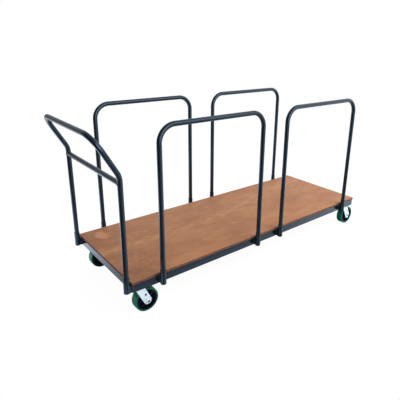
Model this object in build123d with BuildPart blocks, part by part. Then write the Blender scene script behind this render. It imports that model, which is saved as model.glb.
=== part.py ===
from build123d import *
from math import cos, isclose, pi, radians, sin, tan
import os

# Heavy-duty platform cart: a plywood deck on an angle-iron frame, four lift-out tube uprights,
# a lift-out push handle and four swivel casters. Millimetres, +Z up, +X away from the handle.
# The origin is on the floor, under the middle of the cart's overall length and width.
# Right and left are those of the person who pushes, so right is -Y, and the handle is at the rear.

# Deck board
deck_length = 2134.0
deck_width = 762.0
deck_thickness = 18.0
deck_overhang = 5.0
deck_edge_radius = 1.5
deck_corner_radius = 3.0

# Angle-iron rails and cross members
rail_height = 50.8
rail_flange = 50.8
rail_wall = 4.8
rail_root_radius = 5.0
rail_toe_radius = 2.0
cross_member_pitch = 533.0

# Deck screws, driven up through the flanges
screw_diameter = 5.5
screw_clearance = 0.4
screw_head_rim = 2.75
screw_head_height = 3.5
screw_cover = 6.0
screw_end_gap = 117.0
screw_member_gap = 37.0
screw_middle_gap = 190.0
screw_end_spread = 360.0
screw_cross_spread = 300.0

# Sockets for the uprights and the handle, and the blocks that hold them off the rails
socket_clearance = 0.6
socket_wall = 1.9
socket_length = 95.25
socket_rise = 29.0
socket_floor = 4.0
socket_drain = 10.0
socket_edge_radius = 2.0
socket_deck_gap = 5.5
standoff_width = 25.4
standoff_margin = 3.2
weld_gap = 0.1

# Uprights
tube_diameter = 30.0
tube_wall = 2.1
upright_end_gap = 188.0
upright_middle_gap = 226.0
upright_height = 870.0
upright_bend_radius = 98.0

# Push handle
handle_side_inset = 21.8
handle_kink_height = 623.0
handle_slope_length = 259.7
handle_lean = 29.8
handle_kink_radius = 100.0
handle_corner_radius = 100.0
crossbar_gap = 12.0

# Casters as a whole
caster_end_gap = 59.0
caster_side_gap = 65.0
caster_trail = 52.0

# Corner pads, caster top plates and their bolts
pad_thickness = 6.35
pad_margin = 6.0
plate_length = 79.4
plate_width = 104.8
plate_thickness = 4.8
plate_corner_radius = 8.0
bolt_edge_length = 17.45
bolt_edge_width = 14.3
bolt_diameter = 7.9
bolt_clearance = 0.4
bolt_head_rim = 2.4
bolt_head_height = 5.3
nut_height = 6.7
bolt_tail = 2.0
thread_gap = 0.05

# Swivel race and king pin
ball_diameter = 12.0
ball_pitch_radius = 24.0
ball_spacing = 0.5
ball_seat = 1.75
ball_clearance = 0.1
kingpin_diameter = 12.7
kingpin_clearance = 0.1
kingpin_head_rim = 4.65
kingpin_seat_gap = 0.05
kingpin_nut_wall = 3.15
kingpin_nut_height = 11.0
kingpin_flange_rim = 5.0
kingpin_flange_height = 3.0
kingpin_play = 0.3
kingpin_tail = 2.0

# Forks
fork_thickness = 5.0
fork_end_radius = 25.0
fork_root_radius = 3.0
fork_hole_diameter = 14.0
fork_hole_up = 44.5
fork_hole_side = 8.5
fork_leg_set = 6.0
crown_margin = 3.0
wheel_headroom = 13.45

# Wheels and axles
wheel_diameter = 152.4
wheel_width = 50.8
tread_thickness = 9.5
tread_shoulder_radius = 2.5
tread_bond_gap = 0.05
rim_thickness = 8.0
rim_recess = 2.0
web_thickness = 12.0
hub_wall = 7.0
hub_proud = 1.6
hub_side_gap = 2.0
rib_count = 8
rib_thickness = 4.0
rib_recess = 7.0
bearing_wall = 5.4
bearing_fit_gap = 0.02
spacer_wall = 3.05
spacer_running_gap = 0.08
spacer_end_play = 0.1
axle_diameter = 12.7
axle_clearance = 0.1
axle_nut_wall = 3.15
axle_head_height = 8.0
axle_nut_height = 11.0
axle_tail = 2.0

# Sizes that follow from the ones above
screw_head_diameter = screw_diameter + 2 * screw_head_rim
screw_bite = deck_thickness - screw_cover
socket_bore = tube_diameter + 2 * socket_clearance
socket_diameter = socket_bore + 2 * socket_wall
socket_offset = deck_overhang + socket_deck_gap + socket_diameter / 2
standoff_height = rail_height - 2 * standoff_margin
bolt_spacing_length = plate_length - 2 * bolt_edge_length
bolt_spacing_width = plate_width - 2 * bolt_edge_width
bolt_flats = bolt_diameter + 2 * bolt_head_rim
swivel_gap = ball_diameter - 2 * ball_seat
ball_count = int(2 * pi * ball_pitch_radius / (ball_diameter + ball_spacing))
crown_radius = ball_pitch_radius + ball_diameter / 2 + crown_margin
kingpin_head_diameter = kingpin_diameter + 2 * kingpin_head_rim
kingpin_nut_flats = kingpin_diameter + 2 * kingpin_nut_wall
axle_flats = axle_diameter + 2 * axle_nut_wall
spacer_bore = axle_diameter + 2 * axle_clearance
spacer_diameter = spacer_bore + 2 * spacer_wall
bearing_bore = spacer_diameter + 2 * spacer_running_gap
bearing_diameter = bearing_bore + 2 * bearing_wall
hub_diameter = bearing_diameter + 2 * hub_wall
hub_width = wheel_width + 2 * hub_proud
fork_gap = hub_width + 2 * hub_side_gap
fork_half = fork_gap / 2 + fork_thickness
fork_bend_radius = fork_root_radius + fork_thickness
spacer_length = fork_gap - 2 * spacer_end_play
core_radius = wheel_diameter / 2 - tread_thickness
caster_height = wheel_diameter + wheel_headroom + fork_thickness + swivel_gap + plate_thickness

# Levels above the floor
rail_bottom = caster_height
deck_bottom = rail_bottom + rail_height
deck_top = deck_bottom + deck_thickness
flange_bottom = deck_bottom - rail_wall
socket_top = deck_top + socket_rise
socket_bottom = socket_top - socket_length
leg_foot = socket_bottom + socket_floor
plate_bottom = caster_height - plate_thickness
ball_level = plate_bottom - swivel_gap / 2
crown_top = plate_bottom - swivel_gap
crown_bottom = crown_top - fork_thickness
axle_level = wheel_diameter / 2
bar_level = deck_top + upright_height
kink_level = deck_top + handle_kink_height
grip_level = kink_level + handle_slope_length * cos(radians(handle_lean))
crossbar_level = kink_level - handle_kink_radius * tan(radians(handle_lean / 2)) - crossbar_gap

# Places measured from the middle of the deck
half_length = deck_length / 2
half_width = deck_width / 2
rail_x = half_length - deck_overhang
rail_y = half_width - deck_overhang
socket_y = rail_y + socket_offset
handle_x = -(rail_x + socket_offset)
handle_y = half_width - handle_side_inset
handle_reach = handle_slope_length * sin(radians(handle_lean))
leg_inner = upright_middle_gap / 2
leg_outer = half_length - upright_end_gap
caster_x = half_length - caster_end_gap
caster_y = half_width - caster_side_gap

# The deck's middle lies at x = middle, which puts the origin under the middle of the whole cart
rear_extent = -handle_x + handle_reach + tube_diameter / 2
front_extent = max(half_length, caster_x + caster_trail + wheel_diameter / 2)
middle = (rear_extent - front_extent) / 2

sides = {"right": -1, "left": 1}
ends = {"rear": -1, "front": 1}
hexagon = 6

os.makedirs("parts", exist_ok=True)


def write(part, name):
    """Label a finished piece and write it."""
    part.label = name
    export_step(part, f"parts/{name}.step")


def level(height):
    """Horizontal plane at a height, with its origin over the middle of the deck."""
    return Plane((middle, 0, height))


def upright_plane(x, y):
    """Vertical plane along the cart: local x is +X, local y is +Z, the normal is -Y."""
    return Plane(origin=(middle + x, y, 0), x_dir=(1, 0, 0), z_dir=(0, -1, 0))


def hex_radius(flats):
    """Corner radius of a hexagon with this size across its flats."""
    return flats / 2 / cos(radians(30))


# Deck screw places, as (x, y) from the middle of the deck
cross_xs = [-cross_member_pitch, 0, cross_member_pitch]
screw_runs = (half_length - screw_end_gap, cross_member_pitch + screw_member_gap, screw_middle_gap)
side_xs = [e * run for e in (-1, 1) for run in screw_runs]
flange_y = rail_y - rail_flange / 2
flange_x = rail_x - rail_flange / 2
screw_places = [(x, s * flange_y) for x in side_xs for s in (-1, 1)]
screw_places += [(e * flange_x, s * screw_end_spread / 2) for e in (-1, 1) for s in (-1, 1)]
screw_places += [(x - rail_flange / 2, s * screw_cross_spread / 2) for x in cross_xs for s in (-1, 1)]


# Deck board: plywood with eased edges and blind pilot holes underneath
with BuildPart() as deck:
    with BuildSketch(level(deck_bottom)):
        RectangleRounded(deck_length, deck_width, deck_corner_radius)
    extrude(amount=deck_thickness)
    fillet(deck.faces().sort_by(Axis.Z)[-1].edges(), deck_edge_radius)
    with BuildSketch(level(deck_bottom)):
        with Locations(*screw_places):
            Circle(screw_diameter / 2)
    extrude(amount=screw_bite, mode=Mode.SUBTRACT)
write(deck.part, "deck_board")

# Deck screws: pan heads under the flanges, shanks up into the deck
with BuildPart() as screws:
    with BuildSketch(level(flange_bottom - screw_head_height)):
        with Locations(*screw_places):
            Circle(screw_head_diameter / 2)
    extrude(amount=screw_head_height)
    with BuildSketch(level(flange_bottom)):
        with Locations(*screw_places):
            Circle(screw_diameter / 2)
    extrude(amount=rail_wall + screw_bite)
write(screws.part, "deck_screws")


# Angle-iron section: the outer face is local x = 0, the flange reaches inwards at the top
inner_corner = (-rail_wall, rail_height - rail_wall)
flange_toe = (-rail_flange, rail_height - rail_wall)
leg_toe = (-rail_wall, 0)
with BuildSketch() as angle_section:
    with BuildLine():
        Polyline((0, 0), (0, rail_height), (-rail_flange, rail_height), flange_toe, inner_corner, leg_toe, (0, 0))
    make_face()
    fillet(angle_section.vertices().sort_by_distance(inner_corner)[0], rail_root_radius)
    fillet(angle_section.vertices().sort_by_distance(flange_toe)[0], rail_toe_radius)
    fillet(angle_section.vertices().sort_by_distance(leg_toe)[0], rail_toe_radius)

# Clearance holes for the deck screws in the flanges
with BuildSketch(level(flange_bottom)) as screw_holes:
    with Locations(*screw_places):
        Circle(screw_diameter / 2 + screw_clearance)


def angle_rail(outward, distance, half_run):
    """One frame rail, mitred at both ends, with its outer face at a distance from the deck's middle."""
    along = outward.cross(Vector(0, 0, 1))
    start = Vector(middle, 0, rail_bottom) + outward * distance
    with BuildPart() as rail:
        with BuildSketch(Plane(origin=start, x_dir=outward, z_dir=along)):
            add(angle_section.sketch)
        extrude(amount=half_run, both=True)
        for s in (-1, 1):
            mitre = Plane(origin=start + along * (s * half_run), z_dir=outward - along * s)
            split(bisect_by=mitre, keep=Keep.TOP)
        extrude(screw_holes.sketch, amount=rail_wall, mode=Mode.SUBTRACT)
    return rail.part


for side, s in sides.items():
    write(angle_rail(Vector(0, s, 0), rail_y, rail_x), f"side_rail_{side}")
for end, e in ends.items():
    write(angle_rail(Vector(e, 0, 0), rail_x, rail_y), f"end_rail_{end}")

# Cross members: the same angle, coped at both ends to pass under the side rails' flanges
member_half = rail_y - rail_wall - rail_root_radius
cope_length = member_half - (rail_y - rail_flange)
for number, x in enumerate(cross_xs, start=1):
    with BuildPart() as member:
        with BuildSketch(Plane(origin=(middle + x, 0, rail_bottom), x_dir=(1, 0, 0), z_dir=(0, -1, 0))):
            add(angle_section.sketch)
        extrude(amount=member_half, both=True)
        for s in (-1, 1):
            with Locations((middle + x, s * member_half, deck_bottom)):
                cope_align = (Align.CENTER, Align.MAX if s > 0 else Align.MIN, Align.MAX)
                Box(3 * rail_flange, cope_length, rail_wall, align=cope_align, mode=Mode.SUBTRACT)
        extrude(screw_holes.sketch, amount=rail_wall, mode=Mode.SUBTRACT)
    write(member.part, f"cross_member_{number}")

# Corner pads: plates welded inside the corners of the frame, with the casters bolted under them
caster_places = [(e * caster_x, s * caster_y) for e in (-1, 1) for s in (-1, 1)]
pad_outer_x = rail_x - rail_wall
pad_outer_y = rail_y - rail_wall
pad_inner_x = caster_x - plate_length / 2 - pad_margin
pad_inner_y = caster_y - plate_width / 2 - pad_margin
with BuildPart() as pads:
    with BuildSketch(level(rail_bottom)):
        with GridLocations(pad_outer_x + pad_inner_x, pad_outer_y + pad_inner_y, 2, 2):
            Rectangle(pad_outer_x - pad_inner_x, pad_outer_y - pad_inner_y)
    extrude(amount=pad_thickness)
    with BuildSketch(level(rail_bottom)):
        with Locations(*caster_places):
            with GridLocations(bolt_spacing_length, bolt_spacing_width, 2, 2):
                Circle(bolt_diameter / 2 + bolt_clearance)
    extrude(amount=pad_thickness, mode=Mode.SUBTRACT)
write(pads.part, "caster_pads")

# Caster bolts: heads under the top plates, shanks up through plate, pad and nut
nut_level = rail_bottom + pad_thickness
with BuildPart() as bolts:
    with BuildSketch(level(plate_bottom - bolt_head_height)):
        with Locations(*caster_places):
            with GridLocations(bolt_spacing_length, bolt_spacing_width, 2, 2):
                RegularPolygon(hex_radius(bolt_flats), hexagon)
    extrude(amount=bolt_head_height)
    with BuildSketch(level(plate_bottom)):
        with Locations(*caster_places):
            with GridLocations(bolt_spacing_length, bolt_spacing_width, 2, 2):
                Circle(bolt_diameter / 2)
    extrude(amount=plate_thickness + pad_thickness + nut_height + bolt_tail)
write(bolts.part, "caster_bolts")

with BuildPart() as nuts:
    with BuildSketch(level(nut_level)):
        with Locations(*caster_places):
            with GridLocations(bolt_spacing_length, bolt_spacing_width, 2, 2):
                RegularPolygon(hex_radius(bolt_flats), hexagon)
                Circle(bolt_diameter / 2 + thread_gap, mode=Mode.SUBTRACT)
    extrude(amount=nut_height)
write(nuts.part, "caster_nuts")


def sockets_and_standoffs(planes, name):
    """A pair of closed-bottom sockets, and the saddle blocks that hold them off the rail.

    Each plane lies at the foot of a socket, on its axis, with local x pointing away from the cart.
    """
    with BuildPart() as pair:
        with BuildSketch(*planes):
            Circle(socket_diameter / 2)
        extrude(amount=socket_length)
        with BuildSketch(*[plane.offset(socket_floor) for plane in planes]):
            Circle(socket_bore / 2)
        extrude(amount=socket_length - socket_floor, mode=Mode.SUBTRACT)
        with BuildSketch(*planes):
            Circle(socket_drain / 2)
        extrude(amount=socket_floor, mode=Mode.SUBTRACT)
        foot = pair.edges().filter_by(GeomType.CIRCLE).group_by(Axis.Z)[0]
        fillet(foot.filter_by(lambda edge: isclose(edge.radius, socket_diameter / 2)), socket_edge_radius)
    write(pair.part, f"sockets_{name}")

    block_rise = (rail_bottom + deck_bottom - standoff_height) / 2 - socket_bottom
    with BuildPart() as blocks:
        with BuildSketch(*[plane.offset(block_rise) for plane in planes]):
            with Locations((-socket_offset / 2, 0)):
                Rectangle(socket_offset, standoff_width)
            Circle(socket_diameter / 2 + weld_gap, mode=Mode.SUBTRACT)
        extrude(amount=standoff_height)
    write(blocks.part, f"standoffs_{name}")


def swept_tube(path):
    """Round tube along the line of a BuildLine."""
    with BuildPart() as tube:
        with BuildSketch(Plane(origin=path.line @ 0, z_dir=path.line % 0)):
            Circle(tube_diameter / 2)
            Circle(tube_diameter / 2 - tube_wall, mode=Mode.SUBTRACT)
        sweep(path=path.line)
    return tube.part


# Uprights: U-bent tubes that stand loose in two sockets each
for end, e in ends.items():
    for side, s in sides.items():
        leg_xs = (e * leg_inner, e * leg_outer)
        feet = [
            Plane(origin=(middle + x, s * socket_y, socket_bottom), x_dir=(0, s, 0), z_dir=(0, 0, 1))
            for x in leg_xs
        ]
        sockets_and_standoffs(feet, f"{end}_{side}")
        with BuildLine(upright_plane(0, s * socket_y)) as hoop:
            FilletPolyline(
                (leg_xs[0], leg_foot),
                (leg_xs[0], bar_level),
                (leg_xs[1], bar_level),
                (leg_xs[1], leg_foot),
                radius=upright_bend_radius,
            )
        write(swept_tube(hoop), f"upright_{end}_{side}")

# Push handle: a U-bent tube kinked back at the top, loose in two sockets on the rear rail
handle_feet = [
    Plane(origin=(middle + handle_x, s * handle_y, socket_bottom), x_dir=(-1, 0, 0), z_dir=(0, 0, 1))
    for s in (-1, 1)
]
sockets_and_standoffs(handle_feet, "handle")
grip_x = middle + handle_x - handle_reach
with BuildLine() as handle_path:
    FilletPolyline(
        (middle + handle_x, -handle_y, leg_foot),
        (middle + handle_x, -handle_y, kink_level),
        (grip_x, -handle_y, grip_level),
        (grip_x, handle_y, grip_level),
        (middle + handle_x, handle_y, kink_level),
        (middle + handle_x, handle_y, leg_foot),
        radius=[handle_kink_radius, handle_corner_radius, handle_corner_radius, handle_kink_radius],
    )
write(swept_tube(handle_path), "handle_tube")

# Crossbar between the handle's legs, with fish-mouthed ends welded to them
with BuildPart() as crossbar:
    with BuildSketch(upright_plane(handle_x, 0)):
        with Locations((0, crossbar_level)):
            Circle(tube_diameter / 2)
            Circle(tube_diameter / 2 - tube_wall, mode=Mode.SUBTRACT)
    extrude(amount=handle_y, both=True)
    with Locations(*[(middle + handle_x, s * handle_y, crossbar_level) for s in (-1, 1)]):
        Cylinder(tube_diameter / 2 + weld_gap, 2 * tube_diameter, mode=Mode.SUBTRACT)
write(crossbar.part, "handle_crossbar")


# Caster top plates, king pins, swivel balls
for end, e in ends.items():
    for side, s in sides.items():
        with BuildPart() as plate:
            with BuildSketch(level(plate_bottom)):
                with Locations((e * caster_x, s * caster_y)):
                    RectangleRounded(plate_length, plate_width, plate_corner_radius)
                    with GridLocations(bolt_spacing_length, bolt_spacing_width, 2, 2):
                        Circle(bolt_diameter / 2 + bolt_clearance, mode=Mode.SUBTRACT)
            extrude(amount=plate_thickness)
            with Locations((middle + e * caster_x, s * caster_y, caster_height)):
                CounterSinkHole(
                    kingpin_diameter / 2 + kingpin_seat_gap, kingpin_head_diameter / 2 + kingpin_seat_gap
                )
            with Locations((middle + e * caster_x, s * caster_y, ball_level)):
                Torus(ball_pitch_radius, ball_diameter / 2 + ball_clearance, mode=Mode.SUBTRACT)
        write(plate.part, f"top_plate_{end}_{side}")

kingpin_nut_top = crown_bottom - kingpin_play
kingpin_foot = kingpin_nut_top - kingpin_flange_height - kingpin_nut_height - kingpin_tail
with BuildPart() as kingpins:
    with BuildSketch(level(kingpin_foot)):
        with Locations(*caster_places):
            Circle(kingpin_diameter / 2)
    extrude(amount=caster_height - kingpin_foot)
    with Locations(*[(middle + x, y, caster_height) for x, y in caster_places]):
        Cone(
            kingpin_diameter / 2,
            kingpin_head_diameter / 2,
            kingpin_head_rim,
            align=(Align.CENTER, Align.CENTER, Align.MAX),
        )
write(kingpins.part, "kingpins")

with BuildPart() as kingpin_nuts:
    with BuildSketch(level(kingpin_nut_top - kingpin_flange_height)):
        with Locations(*caster_places):
            Circle(hex_radius(kingpin_nut_flats) + kingpin_flange_rim)
            Circle(kingpin_diameter / 2 + thread_gap, mode=Mode.SUBTRACT)
    extrude(amount=kingpin_flange_height)
    with BuildSketch(level(kingpin_nut_top - kingpin_flange_height - kingpin_nut_height)):
        with Locations(*caster_places):
            RegularPolygon(hex_radius(kingpin_nut_flats), hexagon)
            Circle(kingpin_diameter / 2 + thread_gap, mode=Mode.SUBTRACT)
    extrude(amount=kingpin_nut_height)
write(kingpin_nuts.part, "kingpin_nuts")

with BuildPart() as balls:
    with Locations(*[(middle + x, y, ball_level) for x, y in caster_places]):
        with PolarLocations(ball_pitch_radius, ball_count):
            Sphere(ball_diameter / 2)
write(balls.part, "swivel_balls")


def fork(x, y):
    """Pressed fork: a round crown under the top plate and two legs raked back to the axle."""
    axle = Vector(caster_trail, axle_level)
    up_leg = (Vector(fork_leg_set, crown_top) - axle).normalized()
    across = Vector(up_leg.Y, -up_leg.X)
    rear_edge = axle - across * fork_end_radius
    front_edge = axle + across * fork_end_radius
    rear_top = rear_edge + up_leg * ((crown_top - rear_edge.Y) / up_leg.Y)
    front_top = front_edge + up_leg * ((crown_top - front_edge.Y) / up_leg.Y)
    swivel = Vector(middle + x, y, 0)
    with BuildPart() as yoke:
        with BuildSketch(upright_plane(x, y)):
            with BuildLine():
                Polyline(rear_edge, rear_top, front_top, front_edge, close=True)
            make_face()
            with Locations(axle):
                Circle(fork_end_radius)
        extrude(amount=fork_half, both=True)
        fillet(yoke.faces().sort_by(Axis.Z)[-1].edges().filter_by(Axis.X), fork_bend_radius)
        with Locations(swivel + Vector(0, 0, crown_bottom)):
            channel_align = (Align.CENTER, Align.CENTER, Align.MAX)
            Box(4 * caster_height, fork_gap, crown_bottom, align=channel_align, mode=Mode.SUBTRACT)
        underside = yoke.faces().filter_by(Axis.Z).sort_by(Axis.Z)[0]
        fillet(underside.edges().filter_by(Axis.X), fork_root_radius)
        with BuildSketch(Plane(swivel + Vector(0, 0, crown_bottom))):
            Circle(crown_radius)
        extrude(amount=fork_thickness)
        with BuildSketch(Plane(swivel + Vector(0, 0, crown_bottom))):
            Circle(kingpin_diameter / 2 + kingpin_clearance)
        extrude(amount=fork_thickness, mode=Mode.SUBTRACT)
        with Locations(swivel + Vector(0, 0, ball_level)):
            Torus(ball_pitch_radius, ball_diameter / 2 + ball_clearance, mode=Mode.SUBTRACT)
        with BuildSketch(upright_plane(x, y)):
            with Locations(axle):
                Circle(axle_diameter / 2 + axle_clearance)
            with Locations(axle + up_leg * fork_hole_up + across * fork_hole_side):
                Circle(fork_hole_diameter / 2)
        extrude(amount=fork_half, both=True, mode=Mode.SUBTRACT)
    return yoke.part


def axle_bolt(x, y, outward):
    """Axle bolt with its head towards the middle of the cart, and its lock nut on the outer leg."""
    centre = Vector(middle + x, y, axle_level)
    facing = Vector(0, outward, 0)
    tail = fork_half + axle_nut_height + axle_tail
    with BuildPart() as bolt:
        with BuildSketch(Plane(origin=centre - facing * fork_half, z_dir=facing)):
            Circle(axle_diameter / 2)
        extrude(amount=fork_half + tail)
        with BuildSketch(Plane(origin=centre - facing * fork_half, z_dir=-facing)):
            RegularPolygon(hex_radius(axle_flats), hexagon)
        extrude(amount=axle_head_height)
        with BuildSketch(Plane(origin=centre + facing * fork_half, z_dir=facing)):
            RegularPolygon(hex_radius(axle_flats), hexagon)
            Circle(axle_diameter / 2 + thread_gap, mode=Mode.SUBTRACT)
        extrude(amount=axle_nut_height)
    return bolt.part


def axle_sleeve(x, y, outer_diameter, inner_diameter, length):
    """Plain sleeve around the axle, centred between the fork's legs."""
    with BuildPart() as sleeve:
        with BuildSketch(upright_plane(x, y)):
            with Locations((0, axle_level)):
                Circle(outer_diameter / 2)
                Circle(inner_diameter / 2, mode=Mode.SUBTRACT)
        extrude(amount=length / 2, both=True)
    return sleeve.part


def wheel_core(x, y):
    """Moulded wheel core: rim, web, ribs on both sides of it, and a bored hub."""
    rim_inner = core_radius - rim_thickness
    hub_radius = hub_diameter / 2
    overlap = rim_thickness / 2
    rib_run = rim_inner - hub_radius + overlap
    with BuildPart() as core:
        with BuildSketch(upright_plane(x, y)):
            with Locations((0, axle_level)):
                Circle(core_radius - tread_bond_gap)
                Circle(rim_inner, mode=Mode.SUBTRACT)
        extrude(amount=wheel_width / 2 - rim_recess, both=True)
        with BuildSketch(upright_plane(x, y)):
            with Locations((0, axle_level)):
                Circle(core_radius - overlap)
        extrude(amount=web_thickness / 2, both=True)
        with BuildSketch(upright_plane(x, y)):
            with Locations((0, axle_level)):
                with PolarLocations((rim_inner + hub_radius) / 2, rib_count):
                    Rectangle(rib_run, rib_thickness)
        extrude(amount=wheel_width / 2 - rib_recess, both=True)
        with BuildSketch(upright_plane(x, y)):
            with Locations((0, axle_level)):
                Circle(hub_radius)
        extrude(amount=hub_width / 2, both=True)
        with BuildSketch(upright_plane(x, y)):
            with Locations((0, axle_level)):
                Circle(bearing_diameter / 2 + bearing_fit_gap)
        extrude(amount=hub_width / 2, both=True, mode=Mode.SUBTRACT)
    return core.part


def wheel_tread(x, y):
    """Polyurethane tread bonded round the core, with rounded shoulders."""
    with BuildPart() as tread:
        with BuildSketch(upright_plane(x, y)):
            with Locations((0, axle_level)):
                Circle(wheel_diameter / 2)
                Circle(core_radius, mode=Mode.SUBTRACT)
        extrude(amount=wheel_width / 2, both=True)
        rims = tread.edges().filter_by(GeomType.CIRCLE)
        shoulders = rims.filter_by(lambda edge: isclose(edge.radius, wheel_diameter / 2))
        fillet(shoulders, tread_shoulder_radius)
    return tread.part


# Forks, axles and wheels of the four casters, all trailing towards the front
for end, e in ends.items():
    for side, s in sides.items():
        x = e * caster_x
        y = s * caster_y
        corner = f"{end}_{side}"
        write(fork(x, y), f"fork_{corner}")
        write(axle_bolt(x + caster_trail, y, s), f"axle_bolt_{corner}")
        spacer = axle_sleeve(x + caster_trail, y, spacer_diameter, spacer_bore, spacer_length)
        write(spacer, f"axle_spacer_{corner}")
        bearing = axle_sleeve(x + caster_trail, y, bearing_diameter, bearing_bore, hub_width)
        write(bearing, f"hub_bearing_{corner}")
        write(wheel_core(x + caster_trail, y), f"wheel_core_{corner}")
        write(wheel_tread(x + caster_trail, y), f"wheel_tread_{corner}")
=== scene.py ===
import math

import bmesh
import bpy
from mathutils import Matrix, Vector


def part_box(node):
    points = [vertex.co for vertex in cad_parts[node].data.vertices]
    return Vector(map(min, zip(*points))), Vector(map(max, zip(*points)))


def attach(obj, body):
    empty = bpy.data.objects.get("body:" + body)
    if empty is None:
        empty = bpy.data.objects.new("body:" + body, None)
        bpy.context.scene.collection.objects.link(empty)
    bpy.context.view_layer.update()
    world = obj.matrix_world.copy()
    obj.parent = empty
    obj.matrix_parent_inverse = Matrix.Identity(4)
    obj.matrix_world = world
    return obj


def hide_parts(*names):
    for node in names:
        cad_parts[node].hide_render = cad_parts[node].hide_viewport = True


# Heavy-duty platform cart: a plywood deck on a welded angle frame, four lift-out tube uprights,
# a lift-out push handle and four swivel casters. Metres, +Z up, +X away from the handle.
# Right is -Y and rear is -X, as the person who pushes sees them.
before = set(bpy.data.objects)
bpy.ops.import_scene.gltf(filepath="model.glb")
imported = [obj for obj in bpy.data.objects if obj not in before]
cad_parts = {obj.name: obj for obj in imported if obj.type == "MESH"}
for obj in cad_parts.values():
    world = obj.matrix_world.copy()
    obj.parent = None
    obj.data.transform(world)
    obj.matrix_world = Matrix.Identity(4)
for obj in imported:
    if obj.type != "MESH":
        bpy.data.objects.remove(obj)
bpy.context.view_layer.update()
mm = 0.001
corners = [f"{end}_{side}" for end in ("rear", "front") for side in ("right", "left")]


# Side rails, end rails and cross members: hot-rolled 50 mm steel angle with the flange inwards under
# the deck. Sawn, mitred and coped, welded into a grid, and powder coated with the rest of the frame.
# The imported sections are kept, with their sharp edges eased as the mill's rolls leave them.
rail_ease = 0.8 * mm
ease_steps = 2
touching = 0.002 * mm
flat_angle = math.radians(0.5)
edge_angle = math.radians(40)
largest_face_weight = 100


def linear(code):
    """Turn an sRGB hex colour into linear red, green, blue and full alpha."""
    shares = [int(code[i : i + 2], 16) / 255 for i in (1, 3, 5)]
    return [s / 12.92 if s <= 0.04045 else ((s + 0.055) / 1.055) ** 2.4 for s in shares] + [1.0]


def per_metre(size_mm):
    """Pattern scale that gives features of this size in millimetres."""
    return 1 / (size_mm * mm)


def add(tree, kind, inputs=None, **settings):
    """Add a node with its settings, link or set its inputs, and return its outputs.

    A kind that names no family, such as Math, is of the shader family.
    """
    node = tree.nodes.new(kind if "Node" in kind else "ShaderNode" + kind)
    for name, value in settings.items():
        setattr(node, name, value)
    for name, value in (inputs or {}).items():
        if isinstance(value, bpy.types.NodeSocket):
            tree.links.new(value, node.inputs[name])
        else:
            node.inputs[name].default_value = value
    return node.outputs


# Places of a Mix node's sockets when it mixes colours, and settings that several nodes share
FACTOR, COLOUR_A, COLOUR_B, MIXED = 0, 6, 7, 2
COLOURS = {"data_type": "RGBA"}
SMOOTH = {"interpolation_type": "SMOOTHSTEP"}


def start_finish(name):
    """Start an empty node material; returns it, its tree and its Object coordinates."""
    material = bpy.data.materials.new(name)
    material.use_nodes = True
    tree = material.node_tree
    tree.nodes.clear()
    return material, tree, add(tree, "TexCoord")["Object"]


def clouded(
    name,
    tones,
    rough,
    cloud_mm,
    grain_mm,
    grain_depth,
    sockets,
    grain_strength=0.3,
    cloud_detail=3.0,
    grain_detail=2.0,
    spread=(0.35, 0.65),
):
    """A finish of two tones in soft clouds, with gloss that follows them and a fine raised grain."""
    material, tree, place = start_finish(name)
    cloud = {"Vector": place, "Scale": per_metre(cloud_mm), "Detail": cloud_detail}
    cloud = add(tree, "TexNoise", cloud)["Fac"]
    cloud = add(tree, "MapRange", {"Value": cloud, "From Min": spread[0], "From Max": spread[1]})["Result"]
    tone = {FACTOR: cloud, COLOUR_A: linear(tones[0]), COLOUR_B: linear(tones[1])}
    tone = add(tree, "Mix", tone, **COLOURS)[MIXED]
    gloss = add(tree, "MapRange", {"Value": cloud, "To Min": rough[0], "To Max": rough[1]})["Result"]
    scale = [per_metre(size) for size in grain_mm]
    grain = add(tree, "Mapping", {"Vector": place, "Scale": scale})["Vector"]
    grain = add(tree, "TexNoise", {"Vector": grain, "Scale": 1.0, "Detail": grain_detail})["Fac"]
    grain = {"Strength": grain_strength, "Distance": grain_depth, "Height": grain}
    grain = add(tree, "Bump", grain)["Normal"]
    surface = {"Base Color": tone, "Roughness": gloss, "Normal": grain, **sockets}
    surface = add(tree, "BsdfPrincipled", surface)["BSDF"]
    add(tree, "OutputMaterial", {"Surface": surface})
    return material


# Polyester powder coat, sprayed on dry and baked: a glossy film that flows out into a faint orange peel,
# so reflections are clear but a little uneven. Dark blue-grey, with slightly dusty patches.
powder_coat = clouded(
    "powder_coated_steel",
    tones=("#121E26", "#17252F"),
    rough=(0.14, 0.20),
    cloud_mm=160,
    grain_mm=(3, 3, 3),
    grain_depth=0.02 * mm,
    grain_detail=1.0,
    # The blue tint of its reflections is painted light: it stands in for cool room light
    sockets={"IOR": 1.6, "Specular Tint": linear("#C2DDFF")},
)


def show(name, mesh, finish, body):
    """Make a piece from a finished mesh, with its finish and body."""
    piece = bpy.data.objects.new(name, mesh)
    bpy.context.scene.collection.objects.link(piece)
    mesh.materials.clear()
    mesh.materials.append(finish)
    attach(piece, body)
    return piece


def eased(node, name, ease, finish, body):
    """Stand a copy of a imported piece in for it, with its triangles joined and its edges rounded."""
    shape = bmesh.new()
    shape.from_mesh(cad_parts[node].data)
    bmesh.ops.remove_doubles(shape, verts=shape.verts, dist=touching)
    bmesh.ops.dissolve_limit(shape, angle_limit=flat_angle, verts=shape.verts, edges=shape.edges)
    mesh = bpy.data.meshes.new(name)
    shape.to_mesh(mesh)
    shape.free()
    mesh.shade_smooth()
    piece = show(name, mesh, finish, body)
    rounding = piece.modifiers.new("eased edges", "BEVEL")
    rounding.width = ease
    rounding.segments = ease_steps
    rounding.limit_method = "ANGLE"
    rounding.angle_limit = edge_angle
    shading = piece.modifiers.new("flat faces", "WEIGHTED_NORMAL")
    shading.weight = largest_face_weight
    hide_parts(node)


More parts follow.
